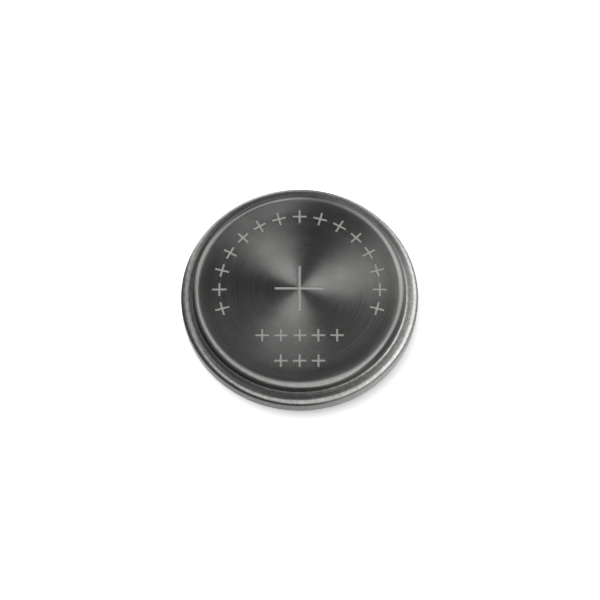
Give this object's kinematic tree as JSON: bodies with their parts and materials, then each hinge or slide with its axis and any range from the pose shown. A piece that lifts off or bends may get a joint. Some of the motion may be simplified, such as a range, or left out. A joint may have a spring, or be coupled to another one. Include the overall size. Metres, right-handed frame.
{
  "type": "lithium coin cell",
  "caption": "Round rechargeable lithium coin cell: a stepped steel can crimped over a gasket and a steel negative cap, with stacked plates and separators sealed inside.",
  "frame": {"origin": "centre of the negative face, at the bottom of the cell", "axes": "+Z along the cell's axis, from the negative face to the positive face"},
  "size_m": [0.0244, 0.0244, 0.005],
  "materials": {
    "can_steel": "dark drawn stainless steel, turned face, polished rings",
    "cap_steel": "drawn stainless steel, satin",
    "gasket_plastic": "moulded polypropylene, black, satin",
    "aluminium_strip": "rolled strip, bright",
    "nickel_strip": "rolled nickel strip, bright",
    "insulating_film": "polyester film, satin",
    "wrap_film": "polyimide film, satin",
    "positive_coating": "matte oxide coating on aluminium foil",
    "negative_coating": "matte graphite coating on copper foil",
    "separator_film": "porous polyethylene film, matte"
  },
  "bodies": {
    "root": {"positive_can": "can_steel", "negative_cap": "cap_steel", "sealing_gasket": "gasket_plastic", "positive_tab": "aluminium_strip", "negative_tab": "nickel_strip", "positive_insulator": "insulating_film", "negative_insulator": "insulating_film", "stack_wrap": "wrap_film", "positive_plate_1": "positive_coating", "positive_plate_2": "positive_coating", "positive_plate_3": "positive_coating", "positive_plate_4": "positive_coating", "positive_plate_5": "positive_coating", "positive_plate_6": "positive_coating", "positive_plate_7": "positive_coating", "positive_plate_8": "positive_coating", "negative_plate_1": "negative_coating", "negative_plate_2": "negative_coating", "negative_plate_3": "negative_coating", "negative_plate_4": "negative_coating", "negative_plate_5": "negative_coating", "negative_plate_6": "negative_coating", "negative_plate_7": "negative_coating", "negative_plate_8": "negative_coating", "negative_plate_9": "negative_coating", "separator_1": "separator_film", "separator_2": "separator_film", "separator_3": "separator_film", "separator_4": "separator_film", "separator_5": "separator_film", "separator_6": "separator_film", "separator_7": "separator_film", "separator_8": "separator_film", "separator_9": "separator_film", "separator_10": "separator_film", "separator_11": "separator_film", "separator_12": "separator_film", "separator_13": "separator_film", "separator_14": "separator_film", "separator_15": "separator_film", "separator_16": "separator_film"}
  },
  "joints": []
}
